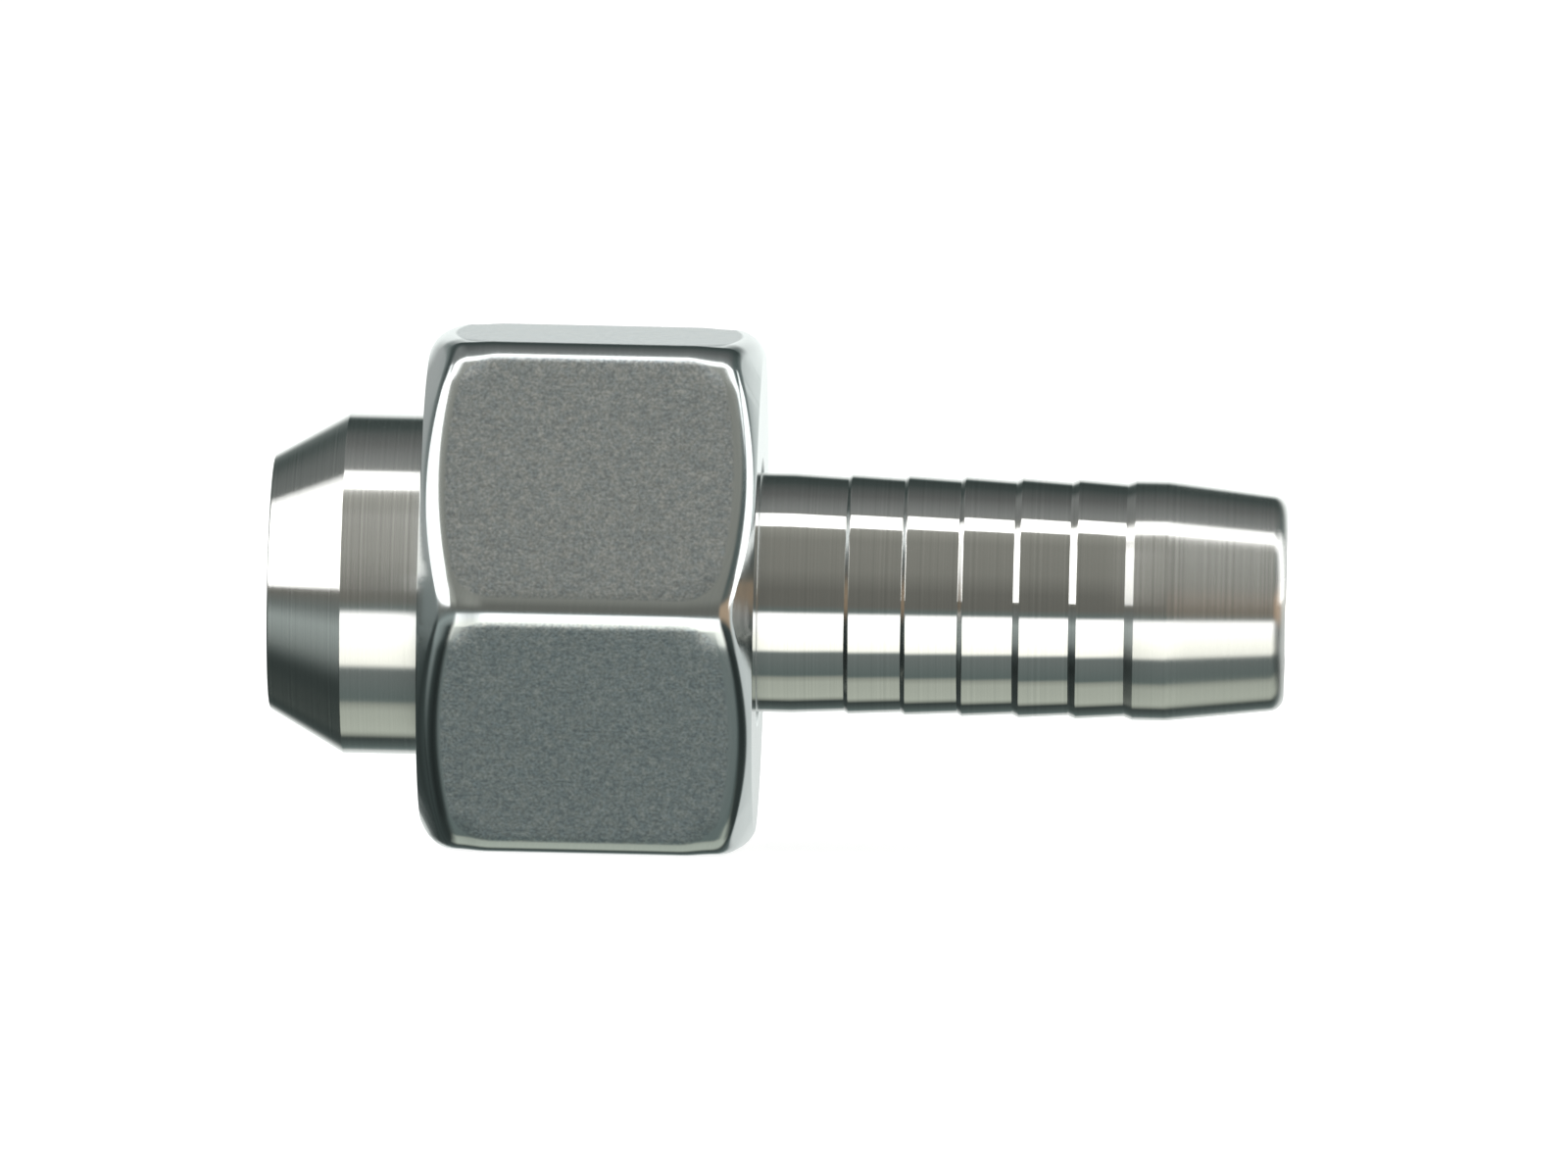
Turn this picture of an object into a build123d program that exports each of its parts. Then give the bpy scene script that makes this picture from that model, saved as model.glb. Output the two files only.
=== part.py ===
from build123d import *
from math import cos, radians, tan
import os

# Turned stainless steel hose tail with a loose hexagon union nut, in millimetres.
# X runs along the common axis, from the sealing cone towards the hose end.
# The origin is the centre of the cone's end face. Z is up, square to two flats of the nut.

# Parallel pipe thread that the nut is cut with and that the tail's head has to pass
thread_major_diameter = 20.955
thread_depth = 1.162

# Hose tail
tail_length = 53.7
stem_diameter = 12.7
stem_wall = 1.85
bore_edge_chamfer = 0.2

# Sealing cone and head
cone_included_angle = 60.0
cone_end_wall = 2.22
cone_end_chamfer = 0.15
head_length = 9.8
head_clearance = 0.31
head_rear_chamfer = 0.5
neck_root_chamfer = 0.5

# Sawtooth grooves of the stem, and the tapered nose that starts the hose
groove_count = 6
groove_pitch = 3.01
groove_rise = 0.6
first_groove_depth = 0.14
last_groove_depth = 0.18
land_length = 1.75
nose_length = 6.25
nose_angle = 6.6
nose_chamfer = 0.6

# Union nut, outside
nut_wall = 3.0225
nut_length = 17.7
nut_set_back = 8.15
nut_corner_round = 2.0
end_face_step = 1.4
end_cone_angle = 27.0
flat_end_chamfer = 0.6
end_face_chamfer = 0.2

# Union nut, inside: thread entry, relief behind the thread, and collar
thread_entry_clearance = 0.2
thread_entry_angle = 45.0
relief_clearance = 0.2
relief_length = 2.6
collar_length = 3.8
collar_clearance = 0.35
collar_edge_chamfer = 0.4

# Radii and places that follow from the sizes above
thread_major_radius = thread_major_diameter / 2
thread_minor_radius = thread_major_radius - thread_depth
flat_radius = thread_major_radius + nut_wall
stem_radius = stem_diameter / 2
bore_radius = stem_radius - stem_wall
cone_end_radius = bore_radius + cone_end_wall
head_radius = thread_minor_radius - head_clearance
cone_length = (head_radius - cone_end_radius) / tan(radians(cone_included_angle / 2))
nose_start = tail_length - nose_length
land_start = nose_start - land_length
barb_start = land_start - groove_count * groove_pitch
nut_front = nut_set_back
nut_rear = nut_front + nut_length


def groove_depth(index):
    """Depth of one sawtooth groove, growing evenly from the first to the last."""
    share = index / max(groove_count - 1, 1)
    return first_groove_depth + share * (last_groove_depth - first_groove_depth)


def barb_points():
    """Outline of the grooves: a long fall towards the hose end, then a short steep rise."""
    points = []
    for index in range(groove_count):
        crest = barb_start + index * groove_pitch
        points.append((crest, stem_radius))
        root = crest + groove_pitch - groove_rise
        points.append((root, stem_radius - groove_depth(index)))
    return points


def break_corner(section, x, radius, size):
    """The section with its corner at a place along the axis and a radius cut off at 45 degrees."""
    corner = section.vertices().sort_by_distance((x, radius, 0))[0]
    return chamfer(corner, size)


def make_hose_tail():
    """Half section turned about the axis: cone, head, neck, grooved stem, nose and through bore."""
    nose_end_radius = stem_radius - nose_length * tan(radians(nose_angle))
    outline = [(0, bore_radius), (0, cone_end_radius), (cone_length, head_radius)]
    outline += [(head_length, head_radius), (head_length, stem_radius)]
    outline += barb_points()
    outline += [(land_start, stem_radius), (nose_start, stem_radius)]
    outline += [(tail_length, nose_end_radius), (tail_length, bore_radius)]
    section = make_face(Polyline(*outline, close=True))
    section = break_corner(section, 0, cone_end_radius, cone_end_chamfer)
    section = break_corner(section, head_length, head_radius, head_rear_chamfer)
    section = break_corner(section, head_length, stem_radius, neck_root_chamfer)
    section = break_corner(section, tail_length, nose_end_radius, nose_chamfer)
    for x in (0, tail_length):
        section = break_corner(section, x, bore_radius, bore_edge_chamfer)
    return revolve(section, axis=Axis.X)


def make_nut_blank():
    """Hexagon bar with rounded corners, cut to length, its ends turned to shallow cones."""
    hexagon = RegularPolygon(flat_radius, 6, major_radius=False)
    hexagon = fillet(hexagon.vertices(), nut_corner_round)
    bar = extrude(Plane.YZ.offset(nut_front) * hexagon, nut_length)
    corner_radius = flat_radius / cos(radians(30))
    end_radius = flat_radius - end_face_step
    cone_depth = (corner_radius - end_radius) * tan(radians(end_cone_angle))
    outline = [(nut_front, 0), (nut_front, end_radius)]
    outline += [(nut_front + cone_depth, corner_radius), (nut_rear - cone_depth, corner_radius)]
    outline += [(nut_rear, end_radius), (nut_rear, 0)]
    section = make_face(Polyline(*outline, close=True))
    for x in (nut_front, nut_rear):
        section = break_corner(section, x, end_radius, end_face_chamfer)
    return bar & revolve(section, axis=Axis.X)


def break_wavy_edges(blank):
    """The wavy edges where flats and rounded corners run out into the end cones are broken."""
    plain = (GeomType.LINE, GeomType.CIRCLE)
    wavy = [edge for edge in blank.edges() if edge.geom_type not in plain]
    return chamfer(wavy, flat_end_chamfer)


def make_nut_cavity():
    """Half section of the space inside: thread entry, thread, relief, collar bore."""
    entry_radius = thread_major_radius + thread_entry_clearance
    entry_depth = (entry_radius - thread_minor_radius) / tan(radians(thread_entry_angle))
    relief_radius = thread_major_radius + relief_clearance
    collar_radius = stem_radius + collar_clearance
    collar_face = nut_rear - collar_length
    relief_start = collar_face - relief_length
    relief_slope = relief_radius - thread_minor_radius
    thread_start = nut_front + entry_depth
    outline = [(nut_front, 0), (nut_front, entry_radius), (thread_start, thread_minor_radius)]
    outline += [(relief_start - relief_slope, thread_minor_radius), (relief_start, relief_radius)]
    outline += [(collar_face, relief_radius), (collar_face, collar_radius + collar_edge_chamfer)]
    outline += [(collar_face + collar_edge_chamfer, collar_radius)]
    outline += [(nut_rear - collar_edge_chamfer, collar_radius)]
    outline += [(nut_rear, collar_radius + collar_edge_chamfer), (nut_rear, 0)]
    return revolve(make_face(Polyline(*outline, close=True)), axis=Axis.X)


def make_union_nut():
    """The hexagon blank, its edges broken, with its cavity bored through."""
    return break_wavy_edges(make_nut_blank()) - make_nut_cavity()


os.makedirs("parts", exist_ok=True)
pieces = {"hose_tail": make_hose_tail(), "union_nut": make_union_nut()}
for node, solid in pieces.items():
    export_step(solid, f"parts/{node}.step")
    box = solid.bounding_box()
    print(node, "volume", round(solid.volume, 1), "from", box.min, "to", box.max)
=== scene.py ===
# %% [markdown]
# # A union nut on its hose tail
#
# The object is a pipe fitting in stainless steel. A turned tail carries a sealing cone at one end
# and a grooved stem for a hose at the other, and a loose hexagon nut sits on it. The construction
# comes ready made as a fixed frame, at its real size. This script gives it smooth surfaces, metal
# finishes, light and a camera.

# %% Load the frame
import bpy
import bmesh
from math import acos, atan2, ceil, cos, degrees, hypot, pi, radians, sin, sqrt, tan
from mathutils import Matrix, Vector


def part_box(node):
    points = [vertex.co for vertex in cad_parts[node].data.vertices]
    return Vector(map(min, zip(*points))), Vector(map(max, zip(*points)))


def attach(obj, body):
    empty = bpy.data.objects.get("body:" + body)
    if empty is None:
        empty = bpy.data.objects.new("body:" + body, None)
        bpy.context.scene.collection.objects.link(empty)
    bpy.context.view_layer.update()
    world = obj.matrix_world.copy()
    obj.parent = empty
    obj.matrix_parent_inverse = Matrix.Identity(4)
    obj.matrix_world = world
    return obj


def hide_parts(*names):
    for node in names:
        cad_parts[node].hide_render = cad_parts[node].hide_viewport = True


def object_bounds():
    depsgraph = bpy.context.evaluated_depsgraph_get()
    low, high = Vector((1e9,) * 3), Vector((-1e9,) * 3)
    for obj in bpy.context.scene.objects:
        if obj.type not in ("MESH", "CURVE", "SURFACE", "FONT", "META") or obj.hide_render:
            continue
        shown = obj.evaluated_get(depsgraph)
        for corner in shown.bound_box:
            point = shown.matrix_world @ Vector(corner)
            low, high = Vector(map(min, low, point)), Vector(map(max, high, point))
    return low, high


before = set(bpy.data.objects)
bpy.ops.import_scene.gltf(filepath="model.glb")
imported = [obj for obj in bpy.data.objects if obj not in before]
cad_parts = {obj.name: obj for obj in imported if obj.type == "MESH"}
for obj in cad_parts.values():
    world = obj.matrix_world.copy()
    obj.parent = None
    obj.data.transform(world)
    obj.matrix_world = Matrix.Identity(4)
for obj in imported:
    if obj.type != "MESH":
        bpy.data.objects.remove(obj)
cad_low, cad_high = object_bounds()
tail_low, tail_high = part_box("hose_tail")
nut_low, nut_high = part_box("union_nut")
MM = 0.001
print("frame box in mm", [round(v / MM, 2) for v in (*cad_low, *cad_high)])

# %% [markdown]
# ## Camera
#
# The photograph was taken from far away, almost level with the object: the ridges of the stem show
# no visible perspective. An orthographic camera would look much the same, but a long lens far from
# the object is what a photographer uses for this. The camera is placed by angles round a target
# near the axis, and a small roll repeats the tilt of the picture.

# %% Camera
PICTURE_WIDTH_PX = 1600
SENSOR_WIDTH = 36.0
mm_per_px = 0.05194
camera_distance = 1200.0
camera_azimuth = 1.5
camera_elevation = 4.65
camera_roll = 1.15
target = Vector((27.11, 0.0, 0.24)) * MM

azimuth, elevation = radians(camera_azimuth), radians(camera_elevation)
level = cos(elevation)
towards_camera = Vector((sin(azimuth) * level, -cos(azimuth) * level, sin(elevation)))
camera_data = bpy.data.cameras.new("camera")
camera_data.sensor_width = SENSOR_WIDTH
camera_data.lens = SENSOR_WIDTH * camera_distance / (mm_per_px * PICTURE_WIDTH_PX)
camera_data.clip_start = 0.05
camera_data.clip_end = 20.0
camera = bpy.data.objects.new("camera", camera_data)
bpy.context.scene.collection.objects.link(camera)
roll = Matrix.Rotation(radians(camera_roll), 3, "Z")
look = (-towards_camera).to_track_quat("-Z", "Y").to_matrix() @ roll
camera_place = target + towards_camera * camera_distance * MM
camera.matrix_world = Matrix.Translation(camera_place) @ look.to_4x4()
bpy.context.scene.camera = camera
print("lens", round(camera_data.lens, 1), "mm")

# %% [markdown]
# ## Helpers for shader nodes
#
# A material is a graph of nodes. It can be wired by hand in the editor, or in code with four lines
# for each node. These helpers keep that to one line. The first adds a node and fills its inputs,
# and the others are the kinds of node that come up most.

# %% Node helpers
MOST_RAMP_STOPS = 32


def add_node(tree, kind, inputs=None, **settings):
    """A new node with its settings and inputs. An input is a value, or a socket to link from."""
    node = tree.nodes.new(kind)
    for name, value in settings.items():
        setattr(node, name, value)
    for name, value in (inputs or {}).items():
        if isinstance(value, bpy.types.NodeSocket):
            tree.links.new(value, node.inputs[name])
        else:
            node.inputs[name].default_value = value
    return node


def math_node(tree, operation, *values):
    """The result of one sum, product or other step on numbers or sockets."""
    return add_node(tree, "ShaderNodeMath", dict(enumerate(values)), operation=operation).outputs[0]


def spread(tree, value, low, high, to_low=0.0, to_high=1.0):
    """A number taken from one range to another and held at both ends."""
    inputs = {0: value, 1: low, 2: high, 3: to_low, 4: to_high}
    return add_node(tree, "ShaderNodeMapRange", inputs).outputs[0]


def between(tree, share, first, second):
    """Two numbers mixed by a share."""
    return add_node(tree, "ShaderNodeMix", {0: share, 2: first, 3: second}).outputs[0]


def blended(tree, share, first, second, **settings):
    """Two colours mixed by a share."""
    inputs = {0: share, 6: first, 7: second}
    return add_node(tree, "ShaderNodeMix", inputs, data_type="RGBA", **settings).outputs[2]


def noise(tree, inputs, **settings):
    """Smooth noise between 0 and 1."""
    return add_node(tree, "ShaderNodeTexNoise", inputs, **settings).outputs[0]


def colour_ramp(tree, fac, stops):
    """A ramp of colours. Stops are pairs of place, from 0 to 1, and colour."""
    assert len(stops) <= MOST_RAMP_STOPS, "a colour ramp can't hold so many stops"
    ramp = add_node(tree, "ShaderNodeValToRGB", {"Fac": fac})
    elements = ramp.color_ramp.elements
    while len(elements) < len(stops):
        elements.new(1.0)
    for element, (place, colour) in zip(elements, stops):
        element.position = place
        element.color = (*colour, 1.0)
    return ramp.outputs["Color"]


print("helpers for nodes; a colour ramp holds at most", MOST_RAMP_STOPS, "stops")

# %% [markdown]
# ## Light tent
#
# Polished steel has no colour of its own to speak of: it shows the room. A product table has a
# white sweep behind, dark card at the sides and above, and a bright sheet low in front. Real cards
# could be modelled one by one, but they would cast shadows and take long to place. Here the world
# holds the room as ramps of tinted greys. The main ramp runs once round the object's long axis. Its
# angles count from the camera's direction, upwards positive, so 180 is right behind the object.
# Four more ramps, by height over the horizon, give what lies to the left and to the right, in front
# and behind. A ramp holds colours up to 1, so each grey is divided by one number, and the strength
# of the world brings it back.

# %% Room
BRIGHT = 4.0
tints = {
    "plain": (1.0, 1.0, 1.0),
    "haze": (0.95, 1.0, 0.98),
    "cool": (0.87, 1.0, 0.97),
    "shade": (0.78, 1.0, 0.96),
    "beige": (0.99, 1.0, 0.90),
    "glow": (0.99, 1.0, 0.92),
    "sheet": (0.92, 1.0, 0.87),
    "peach": (1.35, 1.0, 0.70),
}
# Here and in the side ramps, the dark bands below the horizon are painted shadow: the sheet near the
# object lies in its shade, and the metal sees these bands because the sheet is hidden from it.
around_stops = [
    (-180, 0.88, "haze"), (-168, 0.88, "haze"), (-162, 0.76, "haze"), (-157, 0.60, "haze"),
    (-153, 0.23, "shade"), (-146, 0.15, "shade"), (-131, 0.07, "shade"), (-125, 0.50, "sheet"),
    (-121, 0.66, "sheet"), (-97, 0.62, "sheet"), (-91, 0.47, "sheet"), (-87, 0.21, "shade"),
    (-62, 0.26, "cool"), (-60.2, 0.36, "cool"), (-57.0, 1.75, "glow"), (-45, 2.0, "glow"),
    (-30, 2.3, "plain"), (-21.8, 2.4, "plain"), (-18.0, 0.25, "shade"), (-12, 0.20, "beige"),
    (3, 0.20, "beige"), (22, 0.30, "beige"), (53, 0.32, "beige"), (64.6, 0.42, "beige"),
    (88, 0.34, "haze"), (110, 0.18, "haze"), (134, 0.09, "shade"), (147, 0.07, "shade"),
    (152, 0.16, "shade"), (156, 0.60, "haze"), (162, 1.0, "haze"), (174, 1.2, "haze"),
]
left_stops = [
    (-90, 0.10, "shade"), (-55, 0.03, "shade"), (-44, 0.07, "shade"), (-34, 0.34, "cool"),
    (-20, 0.50, "cool"), (-12, 0.24, "cool"), (-4, 0.18, "beige"), (10, 0.50, "beige"),
    (50, 0.40, "beige"), (90, 0.30, "beige"),
]
left_back_stops = [
    (-90, 0.04, "shade"), (-48, 0.06, "shade"), (-43, 0.08, "shade"), (-38, 0.05, "shade"),
    (-33, 0.08, "shade"), (-17, 0.05, "shade"), (-11, 0.07, "shade"), (-5, 0.28, "cool"),
    (2, 0.45, "haze"), (8, 0.50, "haze"), (16, 0.28, "cool"), (30, 0.09, "shade"),
    (38, 0.10, "shade"), (48, 0.28, "haze"), (90, 0.30, "haze"),
]
right_stops = [
    (-90, 0.10, "shade"), (-40, 0.04, "shade"), (-18, 0.10, "shade"), (-8, 0.45, "peach"),
    (6, 0.45, "peach"), (16, 0.20, "beige"), (32, 0.14, "shade"), (60, 0.14, "shade"),
    (90, 0.30, "haze"),
]
right_back_stops = [
    (-90, 0.10, "shade"), (-36, 0.05, "shade"), (-30, 0.10, "shade"), (-25, 0.85, "haze"),
    (8, 0.90, "haze"), (18, 0.30, "cool"), (32, 0.14, "shade"), (90, 0.20, "shade"),
]


def direction_ramp(tree, angle, low, high, stops):
    """A tinted grey by an angle in degrees, between two limits."""
    fac = math_node(tree, "DIVIDE", math_node(tree, "SUBTRACT", angle, low), high - low)
    scaled = []
    for place, grey, tint in stops:
        colour = tuple(grey / BRIGHT * part for part in tints[tint])
        scaled.append(((place - low) / (high - low), colour))
    return colour_ramp(tree, fac, scaled)


brightest = max(grey for _, grey, _ in around_stops)
print("room with", len(around_stops), "stops round the axis, brightest", brightest)

# %% [markdown]
# ## World
#
# The ramps are joined by direction. An image of a room would be simpler, but a ramp can be tuned by
# one number where the photograph shows one band. The mix to the sides is short, because the side
# cards begin soon beside the object. The camera itself sees plain white.

# %% World
behind_range = (-0.1, 0.15)
left_range = (-0.15, -0.32)
right_range = (0.42, 0.62)
DOWN, UP = -90, 90
HALF_TURN, FULL_TURN = 180, 360


def make_room(tree):
    """The colour of the room by direction."""
    place = add_node(tree, "ShaderNodeTexCoord").outputs["Generated"]
    x, y, z = add_node(tree, "ShaderNodeSeparateXYZ", {"Vector": place}).outputs
    forward = math_node(tree, "MULTIPLY", y, -1.0)
    above_floor = math_node(tree, "DEGREES", math_node(tree, "ARCTAN2", z, forward))
    raised = math_node(tree, "SUBTRACT", above_floor, camera_elevation + HALF_TURN)
    turned = math_node(tree, "FLOORED_MODULO", raised, FULL_TURN)
    round_axis = math_node(tree, "SUBTRACT", turned, HALF_TURN)
    height = math_node(tree, "DEGREES", math_node(tree, "ARCSINE", z))
    around = direction_ramp(tree, round_axis, -HALF_TURN, HALF_TURN, around_stops)
    side_stops = (left_stops, left_back_stops, right_stops, right_back_stops)
    sides = [direction_ramp(tree, height, DOWN, UP, stops) for stops in side_stops]
    left, left_back, right, right_back = sides
    behind = spread(tree, y, *behind_range)
    left = blended(tree, behind, left, left_back)
    right = blended(tree, behind, right, right_back)
    room = blended(tree, spread(tree, x, *left_range), around, left)
    return blended(tree, spread(tree, x, *right_range), room, right)


def make_world():
    """The room as light, with plain white for the camera."""
    world = bpy.data.worlds.new("light_tent")
    world.use_nodes = True
    tree = world.node_tree
    tree.nodes.clear()
    lit = add_node(tree, "ShaderNodeBackground", {"Color": make_room(tree), "Strength": BRIGHT})
    white = add_node(tree, "ShaderNodeBackground", {"Color": (1, 1, 1, 1), "Strength": 1.0})
    seen = add_node(tree, "ShaderNodeLightPath").outputs["Is Camera Ray"]
    mixed = add_node(tree, "ShaderNodeMixShader", {0: seen, 1: lit.outputs[0], 2: white.outputs[0]})
    add_node(tree, "ShaderNodeOutputWorld", {"Surface": mixed.outputs[0]})
    return world


world = make_world()
bpy.context.scene.world = world
bpy.context.scene.view_settings.view_transform = "Standard"
print("world", world.name, "with", len(world.node_tree.nodes), "nodes")

# %% [markdown]
# ## Lamps
#
# Three soft boxes make the white lines of the photograph. A long strip hangs nearly overhead, a
# large upright box stands at the left, and a narrower one at the right. They could be bright
# patches of the world too, but an area lamp has the crisp edge that a soft box gives on metal. The
# upright boxes are placed by the angles that they have to cover, seen from the origin of the frame.

# %% Lamps
LAMP_DISTANCE = 0.6


def soft_box(name, width, length, radiance, location, facing):
    """An area lamp at a place, turned so that its back shows in a direction. Sizes are in metres."""
    data = bpy.data.lights.new(name, "AREA")
    data.shape = "RECTANGLE"
    data.size = width
    data.size_y = length
    data.energy = radiance * width * length * pi
    lamp = bpy.data.objects.new(name, data)
    lamp.location = location
    lamp.rotation_euler = facing.to_track_quat("Z", "Y").to_euler()
    lamp.visible_camera = False
    bpy.context.scene.collection.objects.link(lamp)
    return lamp


def strip_overhead(name, height, width, length, radiance):
    """A strip above, at a height in degrees over the horizon in front."""
    out = Vector((0.0, -cos(radians(height)), sin(radians(height))))
    return soft_box(name, width, length, radiance, out * LAMP_DISTANCE, out)


def upright_box(name, azimuths, heights, radiance):
    """An upright box that covers a range of azimuth, from the front, and of height, in degrees."""
    middle = radians((azimuths[0] + azimuths[1]) / 2)
    half = radians((azimuths[1] - azimuths[0]) / 2)
    low, high = (LAMP_DISTANCE * tan(radians(height)) for height in heights)
    out = Vector((sin(middle), -cos(middle), 0.0))
    location = out * LAMP_DISTANCE + Vector((0.0, 0.0, (low + high) / 2))
    return soft_box(name, 2 * LAMP_DISTANCE * tan(half), high - low, radiance, location, out)


overhead = strip_overhead("overhead_strip", height=78.95, width=1.2, length=0.165, radiance=1.95)
left_box = upright_box("left_box", azimuths=(-105.0, -33.0), heights=(-1.0, 53.0), radiance=2.0)
right_box = upright_box("right_box", azimuths=(78.0, 114.0), heights=(0.0, 42.0), radiance=2.0)
print("lamp energy", [round(lamp.data.energy, 2) for lamp in (overhead, left_box, right_box)])

# %% [markdown]
# ## Floor
#
# The fitting lies on one flat of the nut, on a plain white sheet. A shadow catcher would give the
# shadow too, but here the grey of the sheet sets how deep the soft shadow is. A glow, seen by the
# camera only, brings the sheet to the white of the background, so that no horizon shows.

# %% Floor
FLOOR_SIZE = 12.0
SHEET_GREY = 0.55
SHEET_GLOW = 0.86


def make_floor(height):
    """A large white sheet at a height, with a material that keeps the shadow."""
    mesh = bpy.data.meshes.new("floor")
    half = FLOOR_SIZE / 2
    corners = [(-half, -half), (half, -half), (half, half), (-half, half)]
    mesh.from_pydata([(x, y, height) for x, y in corners], [], [(0, 1, 2, 3)])
    floor = bpy.data.objects.new("floor", mesh)
    bpy.context.scene.collection.objects.link(floor)
    material = bpy.data.materials.new("white_sheet")
    material.use_nodes = True
    tree = material.node_tree
    sheet = tree.nodes["Principled BSDF"]
    sheet.inputs["Base Color"].default_value = (SHEET_GREY, SHEET_GREY, SHEET_GREY, 1.0)
    sheet.inputs["Roughness"].default_value = 1.0
    sheet.inputs["Specular IOR Level"].default_value = 0.0
    sheet.inputs["Emission Color"].default_value = (1.0, 1.0, 1.0, 1.0)
    seen = add_node(tree, "ShaderNodeLightPath").outputs["Is Camera Ray"]
    tree.links.new(math_node(tree, "MULTIPLY", seen, SHEET_GLOW), sheet.inputs["Emission Strength"])
    mesh.materials.append(material)
    floor.visible_glossy = False
    return floor


floor = make_floor(cad_low.z)
print(floor.name, "at z", round(cad_low.z / MM, 2), "mm")

# %% [markdown]
# ## Rounded outlines
#
# The tail and the ends of the nut are turned on a lathe, so both pieces start from an outline in
# the plane of the axis. A real edge is never sharp: it has a small radius that catches the light. A
# Bevel modifier could give that, but one width for all edges is too little here. Each corner of an
# outline is given as a place and a radius, and a helper replaces it by a short arc.

# %% Outline helpers
ARC_STEP = 13.0


def arc_at(before, corner, after, radius):
    """Points of the arc that rounds a corner between its two neighbours."""
    a = (Vector(before) - Vector(corner)).normalized()
    b = (Vector(after) - Vector(corner)).normalized()
    opening = acos(max(-1.0, min(1.0, a.dot(b))))
    turn = pi - opening
    steps = max(2, ceil(degrees(turn) / ARC_STEP))
    centre = Vector(corner) + (a + b).normalized() * radius / sin(opening / 2)
    start = Vector(corner) + a * radius / tan(opening / 2) - centre
    side = 1.0 if a.x * b.y - a.y * b.x < 0 else -1.0
    turns = [Matrix.Rotation(side * turn * k / steps, 2) for k in range(steps + 1)]
    return [tuple(centre + rotation @ start) for rotation in turns]


def rounded_outline(corners):
    """A closed outline with its corners (x, r, radius) rounded by arcs. Radius 0 keeps a point."""
    points = []
    for i, (x, r, radius) in enumerate(corners):
        if radius == 0:
            points.append((x, r))
            continue
        before, after = corners[i - 1][:2], corners[(i + 1) % len(corners)][:2]
        points += arc_at(before, (x, r), after, radius)
    return points


print("a square corner is rounded with", len(arc_at((1, 0), (0, 0), (0, 1), 0.1)), "points")

# %% [markdown]
# ## Surfaces from rings
#
# A turned piece is a row of rings round the axis, each joined to the next. The Spin tool or a Screw
# modifier makes such a surface from one outline, but the nut's outline changes as it turns, so the
# rings are joined in code for both pieces. A Weighted Normal modifier lets the large faces decide
# the shading, so that cones and cylinders look true up to their rounded edges.

# %% Surface helper
SHADING_WEIGHT = 100


def surface_from_rings(name, rings):
    """A closed smooth surface from rings, each joined to the next and the last to the first."""
    count = len(rings[0])
    vertices = [point for ring in rings for point in ring]
    faces = []
    for i in range(len(rings)):
        j = (i + 1) % len(rings)
        for k in range(count):
            m = (k + 1) % count
            faces.append((i * count + k, i * count + m, j * count + m, j * count + k))
    mesh = bpy.data.meshes.new(name)
    mesh.from_pydata(vertices, [], faces)
    mesh.shade_smooth()
    piece = bpy.data.objects.new(name, mesh)
    bpy.context.scene.collection.objects.link(piece)
    shape = bmesh.new()
    shape.from_mesh(mesh)
    volume = shape.calc_volume(signed=True)
    if volume < 0:
        bmesh.ops.reverse_faces(shape, faces=shape.faces)
        shape.to_mesh(mesh)
    shape.free()
    weighted = piece.modifiers.new("even_shading", "WEIGHTED_NORMAL")
    weighted.weight = SHADING_WEIGHT
    weighted.keep_sharp = False
    print(name, len(mesh.vertices), "vertices, volume", round(abs(volume) / MM**3, 1), "mm3")
    return piece


print("large faces decide the shading, with a weight of", SHADING_WEIGHT, "where 50 is even")

# %% [markdown]
# ## Hose tail
#
# The tail is one piece of turned bar. Its outline follows the construction: cone, head, neck, six
# sawtooth grooves, land, tapered nose and bore. Booleans could cut the grooves one by one, but they
# leave untidy faces. One outline with all its corners keeps the number of faces and the radius at
# each edge under control.

# %% Hose tail
tail_length = (tail_high.x - tail_low.x) / MM
head_radius = tail_high.z / MM
stem_radius = 6.35
bore_radius = 4.5
bore_chamfer = 0.2
cone_end_radius = 6.72
cone_half_angle = 30.0
head_length = 9.8
head_chamfer = 0.5
groove_count = 6
groove_pitch = 3.01
groove_rises = (0.20, 0.22, 0.25, 0.34, 0.40, 0.47)
first_groove_depth = 0.14
last_groove_depth = 0.18
nose_length = 6.25
nose_angle = 6.6
nose_start = tail_length - nose_length
land_length = 1.75
land_start = nose_start - land_length
bore_round = 0.05
cone_end_round = 0.2
cone_top_round = 0.12
head_rear_round = 0.1
neck_round = 0.6
crest_round = 0.15
root_round = 0.08
nose_start_round = 1.5
nose_end_round = 0.8
TAIL_SEGMENTS = 240


def groove_corners(start):
    """Corners of the sawtooth grooves: a long fall towards the hose end, then a short steep rise."""
    corners = []
    for index in range(groove_count):
        crest = start + index * groove_pitch
        root = crest + groove_pitch - groove_rises[index]
        share = index / (groove_count - 1)
        depth = first_groove_depth + share * (last_groove_depth - first_groove_depth)
        corners.append((crest, stem_radius, crest_round))
        corners.append((root, stem_radius - depth, root_round))
    return corners


def tail_corners():
    """The tail's closed outline, from the bore's front edge round the outside and back."""
    cone_length = (head_radius - cone_end_radius) / tan(radians(cone_half_angle))
    nose_end = stem_radius - nose_length * tan(radians(nose_angle))
    mouth = bore_radius + bore_chamfer
    corners = [(bore_chamfer, bore_radius, bore_round), (0.0, mouth, bore_round)]
    corners += [(0.0, cone_end_radius, cone_end_round), (cone_length, head_radius, cone_top_round)]
    corners += [(head_length - head_chamfer, head_radius, head_rear_round)]
    corners += [(head_length, head_radius - head_chamfer, head_rear_round)]
    corners += [(head_length, stem_radius, neck_round)]
    corners += groove_corners(land_start - groove_count * groove_pitch)
    corners += [(land_start, stem_radius, crest_round), (nose_start, stem_radius, nose_start_round)]
    corners += [(tail_length, nose_end, nose_end_round), (tail_length, mouth, bore_round)]
    corners += [(tail_length - bore_chamfer, bore_radius, bore_round)]
    return corners


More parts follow.
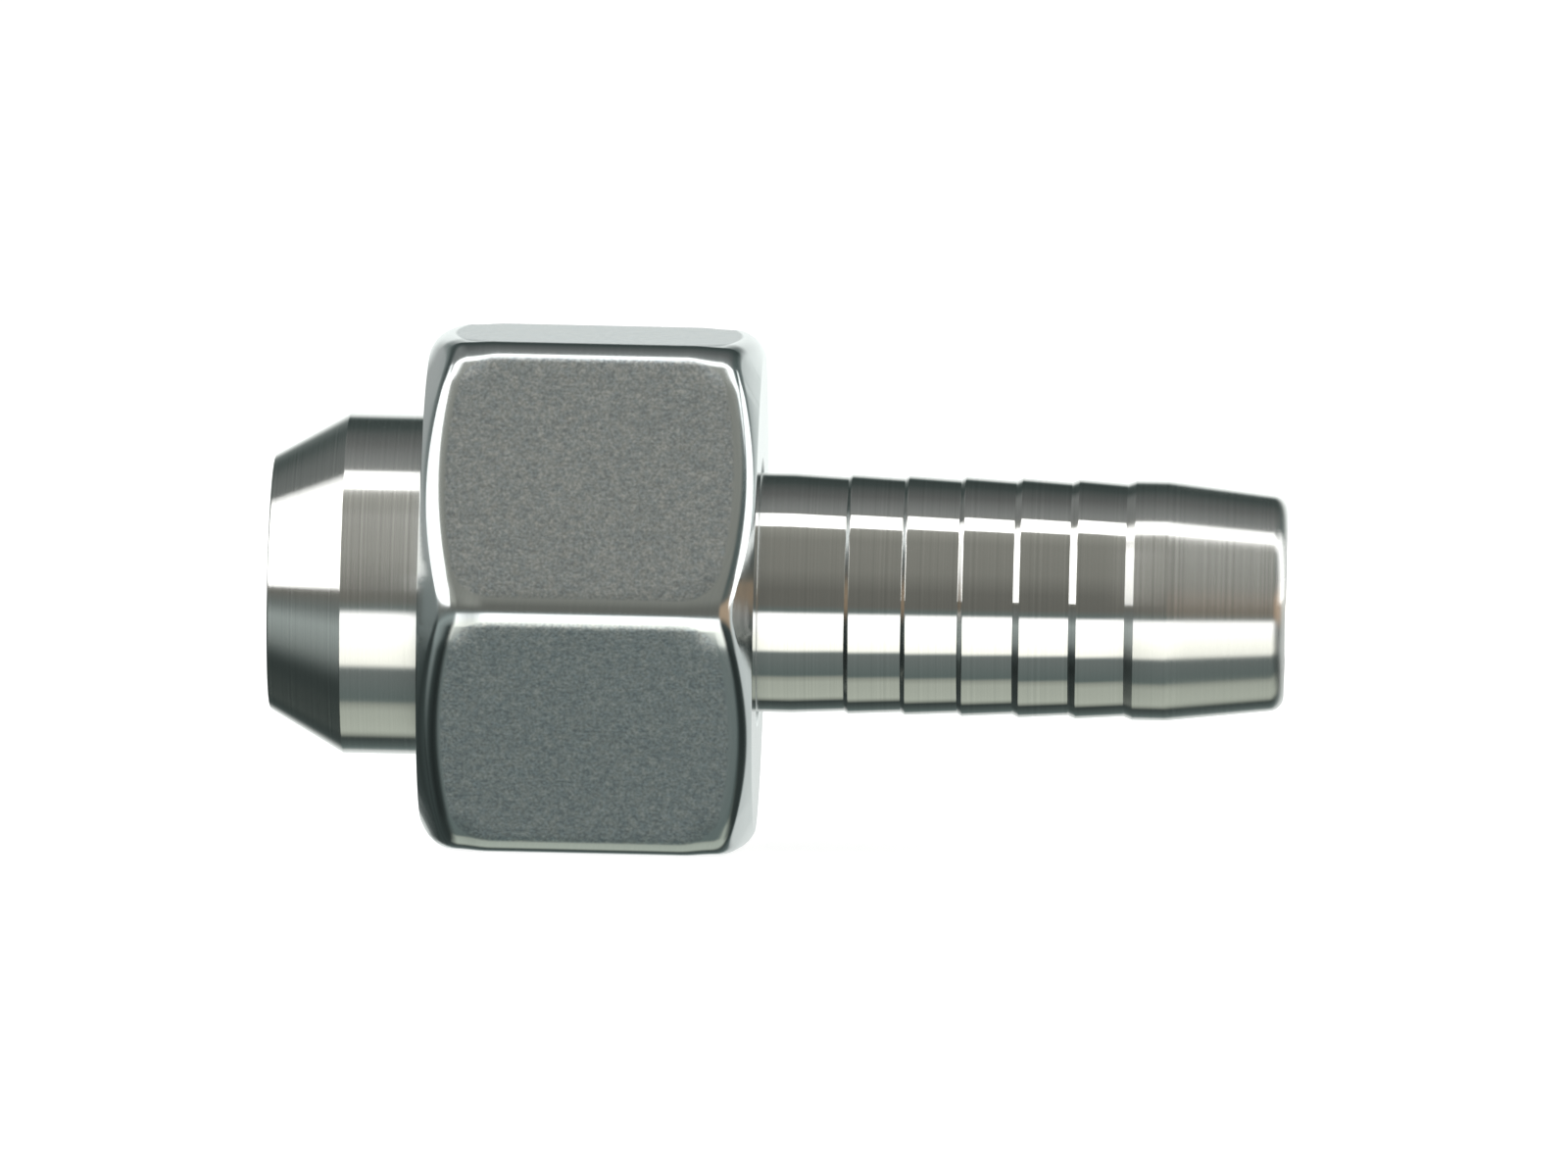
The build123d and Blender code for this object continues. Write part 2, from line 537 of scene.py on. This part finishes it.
def turn_outline(name, outline, segments):
    """An outline turned once round the X axis."""
    angles = [2 * pi * k / segments for k in range(segments)]
    rings = [[(x * MM, r * MM * cos(a), r * MM * sin(a)) for a in angles] for x, r in outline]
    return surface_from_rings(name, rings)


tail = turn_outline("turned_hose_tail", rounded_outline(tail_corners()), TAIL_SEGMENTS)
print("land from", round(land_start, 2), "and nose from", round(nose_start, 2), "mm")

# %% [markdown]
# ## Union nut
#
# The nut is hexagon bar. Both ends are turned to a shallow cone, which cuts each flat back in a
# wavy line, and tumbling has rounded every edge. A bevel on such a wavy edge is hard to control.
# Instead the nut is built as a lathe whose outline changes with the angle: the outer radius
# follows the hexagon with its rounded corners, and the cone's corner moves with it.

# %% Outside of the nut
nut_front = nut_low.x / MM
nut_rear = nut_high.x / MM
flat_radius = nut_high.z / MM
corner_round = 2.0
front_face_inset = 1.0
rear_face_inset = 0.8
front_face_radius = flat_radius - front_face_inset
rear_face_radius = flat_radius - rear_face_inset
end_cone_angle = 27.0
front_edge_round = 1.3
rear_edge_round = 1.15
rim_round = 0.4
row_margin = 0.05
SIDES = 6
SIDE_ANGLE = 360 / SIDES
HALF_SIDE = SIDE_ANGLE / 2
FLAT_COLUMNS = 36
CORNER_COLUMNS = 18
FLAT_ROWS = 48
TINY = 1e-6

corner_centre = (flat_radius - corner_round) / cos(radians(HALF_SIDE))
flat_half_width = corner_centre * sin(radians(HALF_SIDE))
flat_limit = degrees(atan2(flat_half_width, flat_radius))
cone_slope = tan(radians(end_cone_angle))
edge_run_per_round = tan(radians((90 - end_cone_angle) / 2))
front_edge_run = front_edge_round * edge_run_per_round
rear_edge_run = rear_edge_round * edge_run_per_round


def hexagon_angles():
    """Angles of the columns round one flat and one corner, in degrees from the flat's middle."""
    places = [flat_half_width * (2 * k / FLAT_COLUMNS - 1) for k in range(FLAT_COLUMNS)]
    flat = [degrees(atan2(place, flat_radius)) for place in places]
    step = (SIDE_ANGLE - 2 * flat_limit) / CORNER_COLUMNS
    return flat + [flat_limit + step * k for k in range(CORNER_COLUMNS)]


def hexagon_radius(angle):
    """Distance from the axis to the rounded hexagon, by the angle from a flat's middle."""
    if abs(angle) <= flat_limit + TINY:
        return flat_radius / cos(radians(angle))
    off = radians(abs(angle) - HALF_SIDE)
    return corner_centre * cos(off) + sqrt(corner_round**2 - (corner_centre * sin(off)) ** 2)


def cone_edges(radius):
    """Places along the axis where the front and the rear end cone reach a radius."""
    front = nut_front + (radius - front_face_radius) * cone_slope
    rear = nut_rear - (radius - rear_face_radius) * cone_slope
    return front, rear


def outer_corners(radius):
    """Corners of the outside at one angle, from the front face to the rear face."""
    front_edge, rear_edge = cone_edges(radius)
    first_row = front_edge + front_edge_run + row_margin
    last_row = rear_edge - rear_edge_run - row_margin
    step = (last_row - first_row) / FLAT_ROWS
    corners = [(nut_front, front_face_radius, rim_round), (front_edge, radius, front_edge_round)]
    corners += [(first_row + step * k, radius, 0) for k in range(FLAT_ROWS + 1)]
    corners += [(rear_edge, radius, rear_edge_round), (nut_rear, rear_face_radius, rim_round)]
    return corners


print("flats", round(2 * flat_half_width, 2), "mm wide between the rounded corners")

# %% [markdown]
# ## Inside of the nut
#
# Inside are the pipe thread, a relief behind it where the cutting tool ran out, and a collar that
# bears on the tail's shoulder. A thread is often swept along a helix and joined by a boolean. Here
# the outline carries it: the rounded crests and roots make a pipe thread nearly a sine wave, so the
# bore's radius swings once per pitch, and the swing travels along the axis as the outline turns.

# %% Inside of the nut
thread_major_radius = 10.4775
thread_depth = 1.162
thread_pitch = 1.814
mouth_clearance = 0.2
relief_clearance = 0.2
relief_length = 2.6
relief_round = 0.3
collar_length = 3.8
collar_clearance = 0.35
collar_edge = 0.4
collar_round = 0.1
THREAD_ROWS = 104


def thread_radius(x, turn):
    """Radius of the bore in the threaded part, by place along the axis and by turn."""
    minor = thread_major_radius - thread_depth
    mouth = thread_major_radius + mouth_clearance - (x - nut_front)
    relief_start = nut_rear - collar_length - relief_length
    run_out = thread_major_radius + relief_clearance - max(0.0, relief_start - x)
    swing = 0.5 - 0.5 * cos(2 * pi * (x / thread_pitch - turn))
    return max(minor + thread_depth * swing, mouth, run_out)


def inner_corners(turn):
    """Corners of the inside at one angle: collar, relief and thread, from the rear on."""
    collar_radius = stem_radius + collar_clearance
    face = nut_rear - collar_length
    corners = [(nut_rear, collar_radius + collar_edge, collar_round)]
    corners += [(nut_rear - collar_edge, collar_radius, collar_round)]
    corners += [(face + collar_edge, collar_radius, collar_round)]
    corners += [(face, collar_radius + collar_edge, collar_round)]
    corners += [(face, thread_major_radius + relief_clearance, relief_round)]
    thread_end = face - relief_length + relief_round
    step = (nut_front - thread_end) / THREAD_ROWS
    for k in range(THREAD_ROWS + 1):
        x = thread_end + step * k
        corners.append((x, thread_radius(x, turn), 0))
    return corners


print("collar bore", round(2 * (stem_radius + collar_clearance), 2), "mm wide")

# %% [markdown]
# ## Wear at the corners
#
# Where two flats meet an end cone the metal stands proud most, and tumbling takes most off there.
# The flats of the real nut therefore end in rounded corners. Sculpting could wear them down, but
# not all twelve alike. A smooth dimple round each corner, taken off the radius, gives that without
# any crease.

# %% Worn corners and the nut
wear_depth = 0.17
wear_reach = 2.2
wear_inset = 0.3
TOP_FLAT = 90
front_tip, rear_tip = cone_edges(corner_centre + corner_round)
worn_places = (front_tip + wear_inset, rear_tip - wear_inset)


def worn(x, r, angle):
    """The radius at a place, less what tumbling has taken off the outside near a corner."""
    if r <= front_face_radius:
        return r
    along = radians(HALF_SIDE - abs(angle)) * r
    for place in worn_places:
        near = hypot(along, x - place) / wear_reach
        if near < 1:
            r -= wear_depth * (1 - near**2) ** 2
    return r


def make_nut():
    """The nut's surface from one outline per column, regrouped into rings."""
    columns = []
    for side in range(SIDES):
        for angle in hexagon_angles():
            local = angle if angle <= HALF_SIDE else angle - SIDE_ANGLE
            whole = radians(TOP_FLAT + SIDE_ANGLE * side + angle)
            corners = outer_corners(hexagon_radius(local)) + inner_corners(whole / (2 * pi))
            shaped = [(x, worn(x, r, local)) for x, r in rounded_outline(corners)]
            columns.append([(x * MM, r * MM * cos(whole), r * MM * sin(whole)) for x, r in shaped])
    rings = [list(ring) for ring in zip(*columns)]
    return surface_from_rings("threaded_union_nut", rings)


nut = make_nut()
print("worn corners at", [round(place, 2) for place in worn_places], "mm along the axis")

# %% [markdown]
# ## Masks
#
# Tumbling polishes what stands proud and leaves the flats as they were drawn. The nut's material
# needs to know which is which. A painted mask would do, but this one follows from the form: each
# vertex gets its distance from the rim of the speckled field, negative on the field and positive
# on an edge or a turned face. The field is a rectangle with rounded corners. It runs a little onto
# the rounded edges between the flats, and ends where the roundings towards the end cones begin.

# %% Polish mask
field_corner = 1.7
field_overlap = 0.4
rear_border = 0.05
flat_tolerance = 0.4
farthest = 1.0


def field_distance(co):
    """Distance in mm from the rim of the nearest flat's speckled field, negative inside it."""
    turn = degrees(atan2(co.z, co.y)) % SIDE_ANGLE - HALF_SIDE
    r = hypot(co.y, co.z) / MM
    if r * cos(radians(turn)) < flat_radius - flat_tolerance:
        return farthest
    across = abs(r * sin(radians(turn)))
    front_edge, rear_edge = cone_edges(hexagon_radius(turn))
    from_front = co.x / MM - front_edge - front_edge_run
    from_rear = rear_edge - rear_edge_run - rear_border - co.x / MM
    short = max(0.0, field_corner - min(from_front, from_rear))
    wide = max(0.0, field_corner - (flat_half_width + field_overlap - across))
    return hypot(short, wide) - field_corner


def store_mask(piece):
    """Distances from the rim of the field, kept per vertex for the material."""
    mesh = piece.data
    mask = mesh.attributes.new("field_distance", "FLOAT", "POINT")
    for vertex in mesh.vertices:
        distance = field_distance(vertex.co)
        mask.data[vertex.index].value = max(-farthest, min(farthest, distance))
    share = sum(item.value < 0 for item in mask.data) / len(mask.data)
    print(piece.name, "share of vertices in the speckled fields", round(share, 2))


store_mask(nut)

# %% [markdown]
# ## Tool marks
#
# A lathe leaves fine rings round the work, a fraction of a millimetre apart, a little uneven. They
# could be cut as geometry or drawn as an image, but both cost much for so little depth. Both pieces
# have them, so they are a node group: noise along one line only, by distance along the axis plus
# distance from it, which runs over cylinders, cones and end faces alike.

# %% Node group for tool marks
RING_DRIFT = 0.0002
WANDER_SCALE = 160.0
BROAD_RINGS_PER_MM = 1.1
BROAD_LIMITS = (0.35, 0.65)
RING_STRENGTHS = (0.35, 1.0)


def new_group(name, inputs, outputs):
    """An empty shader node group. Inputs are name, type and default, outputs name and type."""
    group = bpy.data.node_groups.new(name, "ShaderNodeTree")
    for label, kind, value in inputs:
        socket = group.interface.new_socket(label, in_out="INPUT", socket_type=kind)
        if value is not None:
            socket.default_value = value
    for label, kind in outputs:
        group.interface.new_socket(label, in_out="OUTPUT", socket_type=kind)
    start = group.nodes.new("NodeGroupInput")
    end = group.nodes.new("NodeGroupOutput")
    return group, start.outputs, end.inputs


def make_tool_marks():
    """Fine rings: a height for bump and a tone for roughness and colour."""
    inputs = [("Vector", "NodeSocketVector", None), ("Rings per mm", "NodeSocketFloat", 7.0),
              ("Unevenness", "NodeSocketFloat", 0.3)]
    outputs = [("Height", "NodeSocketFloat"), ("Tone", "NodeSocketFloat")]
    group, start, end = new_group("tool_marks", inputs, outputs)
    place = start["Vector"]
    x, y, z = add_node(group, "ShaderNodeSeparateXYZ", {"Vector": place}).outputs
    y_squared = math_node(group, "MULTIPLY", y, y)
    z_squared = math_node(group, "MULTIPLY", z, z)
    from_axis = math_node(group, "SQRT", math_node(group, "ADD", y_squared, z_squared))
    along = math_node(group, "ADD", x, from_axis)
    wander = noise(group, {"Vector": place, "Scale": WANDER_SCALE, "Detail": 1.0})
    reach = math_node(group, "MULTIPLY", start["Unevenness"], RING_DRIFT)
    drift = math_node(group, "MULTIPLY", wander, reach)
    line = math_node(group, "MULTIPLY", math_node(group, "ADD", along, drift), 1 / MM)
    rings = math_node(group, "MULTIPLY", line, start["Rings per mm"])
    fine = noise(group, {"W": rings, "Scale": 1.0, "Detail": 3.0}, noise_dimensions="1D")
    broad_inputs = {"W": line, "Scale": BROAD_RINGS_PER_MM, "Detail": 1.0}
    broad = noise(group, broad_inputs, noise_dimensions="1D")
    strength = spread(group, broad, *BROAD_LIMITS, *RING_STRENGTHS)
    height = math_node(group, "MULTIPLY", math_node(group, "SUBTRACT", fine, 0.5), strength)
    group.links.new(height, end["Height"])
    group.links.new(math_node(group, "ADD", height, 0.5), end["Tone"])
    return group


tool_marks = make_tool_marks()
print("group", tool_marks.name, "with", len(tool_marks.nodes), "nodes")

# %% [markdown]
# ## Mottled grain
#
# The flats of drawn bar are not turned. Pickling and tumbling leave them matt, with a fine speckle
# and faint lines along the bar. A picture of such a surface would repeat, and blur close up. Two
# sizes of noise and one stretched noise give the speckle at any size. The group puts out a tone to
# darken or lighten with, a coarser tone for the tint, and a height for a shallow bump.

# %% Node group for grain
PATCH_SHARE = 0.3
PATCH_SCALE = 0.45
LINE_STRETCH = (0.12, 1.0, 1.0)


def make_grain():
    """A speckle with faint lines along X: a tone, a coarser tone for the tint, and a height."""
    inputs = [("Vector", "NodeSocketVector", None), ("Speckle size", "NodeSocketFloat", 0.2),
              ("Lines", "NodeSocketFloat", 0.3)]
    outputs = [("Tone", "NodeSocketFloat"), ("Tint", "NodeSocketFloat"),
               ("Height", "NodeSocketFloat")]
    group, start, end = new_group("mottled_grain", inputs, outputs)
    place = start["Vector"]
    scale = math_node(group, "DIVIDE", 1 / MM, start["Speckle size"])
    coarse = math_node(group, "MULTIPLY", scale, PATCH_SCALE)
    speckle = noise(group, {"Vector": place, "Scale": scale, "Detail": 2.0})
    patch = noise(group, {"Vector": place, "Scale": coarse, "Detail": 1.0})
    stretch = {0: place, 1: LINE_STRETCH}
    stretched = add_node(group, "ShaderNodeVectorMath", stretch, operation="MULTIPLY").outputs[0]
    lines = noise(group, {"Vector": stretched, "Scale": scale, "Detail": 1.0})
    mottled = between(group, PATCH_SHARE, speckle, patch)
    tone = between(group, start["Lines"], mottled, lines)
    group.links.new(tone, end["Tone"])
    group.links.new(patch, end["Tint"])
    group.links.new(math_node(group, "SUBTRACT", tone, 0.5), end["Height"])
    return group


grain = make_grain()
print("group", grain.name, "with", len(grain.nodes), "nodes")

# %% [markdown]
# ## Turned steel
#
# The tail is bright: a metallic surface with low roughness. Turning leaves it rougher along the
# axis than round it, so each reflection is drawn out along the axis but keeps crisp long edges.
# Finer and finer rings as geometry would do that too, at a great cost. Here it is an anisotropic
# roughness with its direction round the X axis. The head, the land and the nose were turned with a
# coarser feed than the neck and the grooves, so they are rougher. They also get a painted sheen: a
# lighter colour that stands in for their brighter reflections. Both values depend on the place:
# each row of the list is a place, a roughness and a painted brightness.

# %% Material of the tail
tail_dark = (0.650, 0.650, 0.633)
tail_light = (0.741, 0.735, 0.718)
tail_bump = 0.001
# Each row: place in mm, roughness, and a painted sheen that lightens the colour there.
tail_finish_and_sheen = [
    (0.0, 0.195, 0.965), (4.0, 0.195, 0.982), (head_length - 0.4, 0.195, 1.0),
    (head_length + 0.6, 0.105, 0.877), (land_start - 1.7, 0.110, 0.877),
    (land_start + 0.1, 0.205, 0.930), (nose_start - 0.15, 0.205, 0.959),
    (nose_start + 1.05, 0.250, 0.982),
]
TONE_LIMITS = (0.3, 0.7)
uneven_roughness = (0.9, 1.1)


def new_metal(name):
    """A metallic material, with its node tree, its surface node and the place on the object."""
    material = bpy.data.materials.new(name)
    material.use_nodes = True
    tree = material.node_tree
    steel = tree.nodes["Principled BSDF"]
    steel.inputs["Metallic"].default_value = 1.0
    place = add_node(tree, "ShaderNodeTexCoord").outputs["Object"]
    return material, tree, steel, place


def use_group(tree, group, inputs):
    """A node group placed in a material with its own values. Returns its outputs."""
    return add_node(tree, "ShaderNodeGroup", inputs, node_tree=group).outputs


def two_tone(tree, tone, dark, light, limits=TONE_LIMITS):
    """A colour between two, by a tone, with the tone spread between two limits first."""
    return blended(tree, spread(tree, tone, *limits), (*dark, 1), (*light, 1))


def shallow_bump(tree, height, depth):
    """The normal of a surface with a height on it, for a depth in mm."""
    inputs = {"Height": height, "Distance": depth * MM}
    return add_node(tree, "ShaderNodeBump", inputs).outputs[0]


def along_tail(tree, place, values):
    """A value that follows pairs of place along the tail, in mm, and value."""
    along = add_node(tree, "ShaderNodeSeparateXYZ", {"Vector": place}).outputs[0]
    share = math_node(tree, "DIVIDE", along, tail_length * MM)
    return colour_ramp(tree, share, [(x / tail_length, (v, v, v)) for x, v in values])


def make_turned_steel():
    """Bright turned steel with fine rings, and a painted sheen lighter on the head, land and nose.
    """
    material, tree, steel, place = new_metal("turned_steel")
    steel.inputs["Anisotropic"].default_value = 1.0
    steel.inputs["Anisotropic Rotation"].default_value = 0.25
    round_axis = add_node(tree, "ShaderNodeTangent", direction_type="RADIAL", axis="X")
    tree.links.new(round_axis.outputs[0], steel.inputs["Tangent"])
    marks = use_group(tree, tool_marks, {"Vector": place, "Rings per mm": 6.0, "Unevenness": 0.3})
    ringed = two_tone(tree, marks["Tone"], tail_dark, tail_light)
    # Painted sheen: a lighter colour on the head, the land and the nose than on the neck and
    # grooves.
    painted_sheen = along_tail(tree, place, [(x, value) for x, _, value in tail_finish_and_sheen])
    colour = blended(tree, 1.0, ringed, painted_sheen, blend_type="MULTIPLY")
    tree.links.new(colour, steel.inputs["Base Color"])
    rough = along_tail(tree, place, [(x, value) for x, value, _ in tail_finish_and_sheen])
    uneven = spread(tree, marks["Tone"], *TONE_LIMITS, *uneven_roughness)
    tree.links.new(math_node(tree, "MULTIPLY", rough, uneven), steel.inputs["Roughness"])
    tree.links.new(shallow_bump(tree, marks["Height"], tail_bump), steel.inputs["Normal"])
    return material


tail.data.materials.append(make_turned_steel())
roughnesses = [value for _, value, _ in tail_finish_and_sheen]
print("tail roughness from", min(roughnesses), "to", max(roughnesses))

# %% [markdown]
# ## Steel of the nut
#
# The nut has two finishes on one piece: matt speckled flats, and polished edges and ends. Two
# materials would meet in a hard line. Here one material mixes both by the distance from the rim of
# the speckled field. On the flats the grain varies colour, tint, roughness and bump.

# %% Material of the nut
flat_dark = (0.340, 0.362, 0.375)
flat_light = (0.610, 0.645, 0.660)
flat_cold = (0.97, 1.0, 1.02)
flat_warm = (1.03, 1.0, 0.97)
edge_dark = (0.575, 0.605, 0.605)
edge_light = (0.605, 0.630, 0.630)
flat_roughness = (0.24, 0.27)
edge_roughness = (0.145, 0.165)
speckle_limits = (0.33, 0.67)
polish_fade = (-0.12, 0.04)
flat_bump = 0.0012


def make_nut_steel():
    """Speckled flats and polished edges, mixed by the distance from the rim of the field."""
    material, tree, steel, place = new_metal("nut_steel")
    mask = add_node(tree, "ShaderNodeAttribute", attribute_name="field_distance")
    polish = spread(tree, mask.outputs["Fac"], *polish_fade)
    grained = use_group(tree, grain, {"Vector": place, "Speckle size": 0.17, "Lines": 0.12})
    marks = use_group(tree, tool_marks, {"Vector": place, "Rings per mm": 5.0, "Unevenness": 0.5})
    speckled = two_tone(tree, grained["Tone"], flat_dark, flat_light, speckle_limits)
    tinted = two_tone(tree, grained["Tint"], flat_cold, flat_warm)
    flat_colour = blended(tree, 1.0, speckled, tinted, blend_type="MULTIPLY")
    edge_colour = two_tone(tree, marks["Tone"], edge_dark, edge_light)
    tree.links.new(blended(tree, polish, flat_colour, edge_colour), steel.inputs["Base Color"])
    flat_rough = spread(tree, grained["Tone"], *TONE_LIMITS, *flat_roughness)
    edge_rough = spread(tree, marks["Tone"], *TONE_LIMITS, *edge_roughness)
    tree.links.new(between(tree, polish, flat_rough, edge_rough), steel.inputs["Roughness"])
    height = between(tree, polish, grained["Height"], 0.0)
    tree.links.new(shallow_bump(tree, height, flat_bump), steel.inputs["Normal"])
    return material


nut.data.materials.append(make_nut_steel())
print("nut roughness", flat_roughness, "on the flats and", edge_roughness, "on the edges")

# %% [markdown]
# ## Hand the pieces to their bodies
#
# Each surface stands for the construction node of the same form and moves with its body: the nut
# turns about the tail. The motion could be set up here with parents, but the frame already knows
# the joint.

# %% Ride and replace
for piece, node, slot in ((tail, "hose_tail", "turned_steel"), (nut, "union_nut", "nut_steel")):
    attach(piece, node)
    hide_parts(node)
